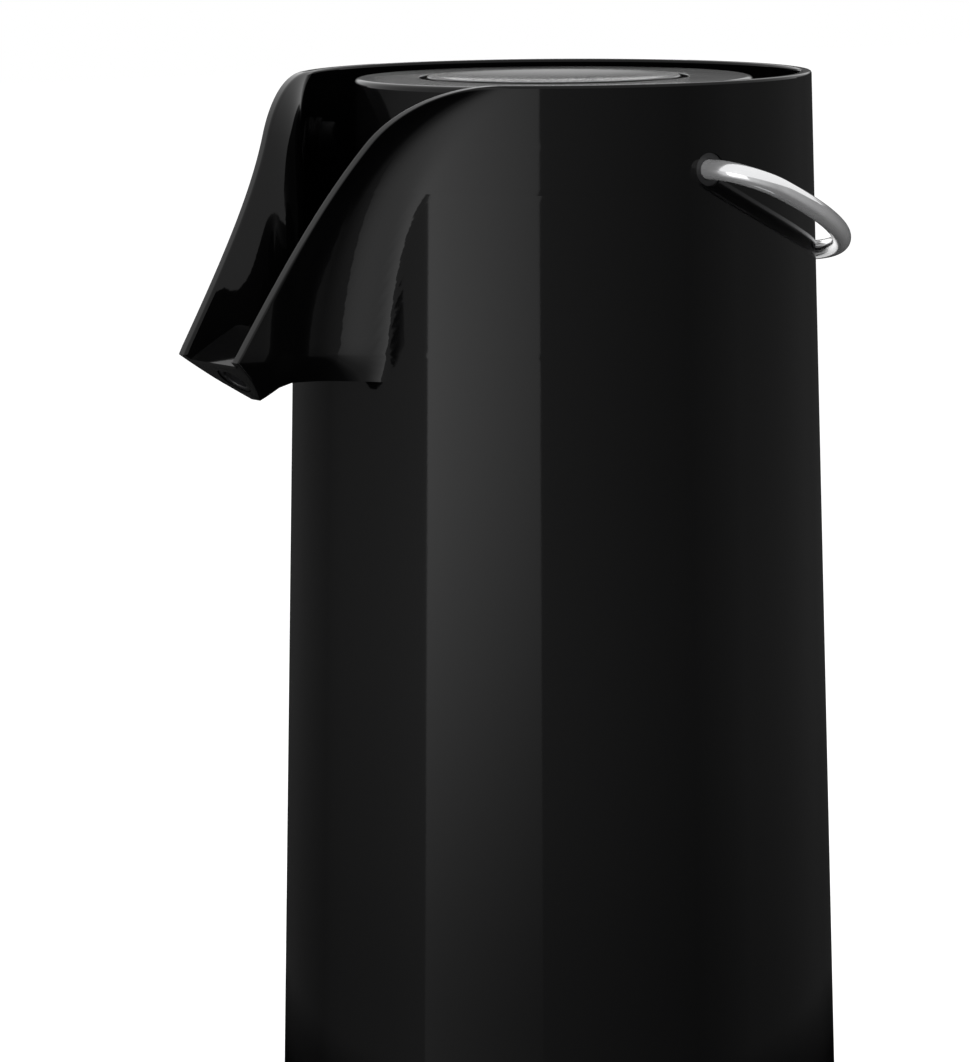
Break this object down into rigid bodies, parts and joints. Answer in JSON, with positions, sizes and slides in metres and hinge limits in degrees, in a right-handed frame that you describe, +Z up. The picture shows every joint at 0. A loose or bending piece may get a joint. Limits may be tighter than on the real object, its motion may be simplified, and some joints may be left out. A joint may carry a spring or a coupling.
{
  "type": "airpot",
  "caption": "Tall insulated pump jug: conical body drawn out into an open beaked spout, round pump head with a push button, glass flask, dip tube and a wire carrying bail.",
  "frame": {"origin": "centre of the resting plane under the foot pad, on the axis of the conical body", "axes": "+Z up along the body's axis; -Y towards the spout; +X to the right seen from the front"},
  "size_m": [0.188, 0.2033, 0.37],
  "materials": {
    "shell_black": "polished black",
    "head_black": "polished black",
    "button_black": "polished black",
    "base_black": "satin black",
    "inner_black": "satin dark",
    "white_plastic": "satin off-white",
    "handle_steel": "polished",
    "steel": "plain",
    "rubber_black": "moulded",
    "silicone": "moulded translucent white",
    "flask_glass": "clear, silvered inside the gap"
  },
  "bodies": {
    "flask": {"outer_shell": "shell_black", "base_plate": "base_black", "base_screws": "steel", "foot_pad": "rubber_black", "flask_outer_wall": "flask_glass", "flask_inner_wall": "flask_glass", "flask_spacers": "silicone", "flask_cushion": "silicone", "neck_gasket": "silicone", "collar": "inner_black", "collar_screws": "steel", "spout_tube": "white_plastic", "spout_nozzle": "white_plastic", "port_seal": "silicone", "pivot_bush_left": "inner_black", "pivot_bush_right": "inner_black"},
    "handle": {"handle_bail": "handle_steel", "handle_clips": "steel"},
    "pump_core": {"stopper_core": "white_plastic", "core_seal": "silicone", "dip_tube": "white_plastic", "pump_base": "white_plastic", "pump_screws": "steel", "bellows": "silicone", "return_spring": "steel", "valve_spring": "steel"},
    "air_valve": {"air_valve": "silicone"},
    "check_ball": {"check_ball": "steel"},
    "head_cap": {"head_cap": "head_black", "lock_ring": "inner_black"},
    "button": {"pump_button": "button_black", "bellows_plate": "white_plastic"}
  },
  "joints": [
    {"name": "handle_swing", "type": "hinge", "parent": "flask", "child": "handle", "pos_m": [0, 0, 0.3456], "axis": [1, 0, 0], "range_deg": [0, 175]},
    {"name": "head_lift", "type": "slide", "parent": "flask", "child": "pump_core", "axis": [0, 0, 1], "range_m": [0, 0.35]},
    {"name": "cap_turn", "type": "hinge", "parent": "pump_core", "child": "head_cap", "pos_m": [0, 0, 0.29636], "axis": [0, 0, 1], "range_deg": [0, 90]},
    {"name": "button_press", "type": "slide", "parent": "head_cap", "child": "button", "axis": [0, 0, -1], "range_m": [0, 0.025], "stiffness_N_per_m": 600, "springref_m": -0.01, "deforming": ["bellows", "return_spring"]},
    {"name": "valve_open", "type": "slide", "parent": "pump_core", "child": "air_valve", "axis": [0, 0, -1], "range_m": [0, 0.0015], "stiffness_N_per_m": 50, "springref_m": -0.002, "deforming": ["valve_spring"]},
    {"name": "ball_lift", "type": "slide", "parent": "pump_core", "child": "check_ball", "axis": [0, 0, 1], "range_m": [0, 0.002]}
  ]
}
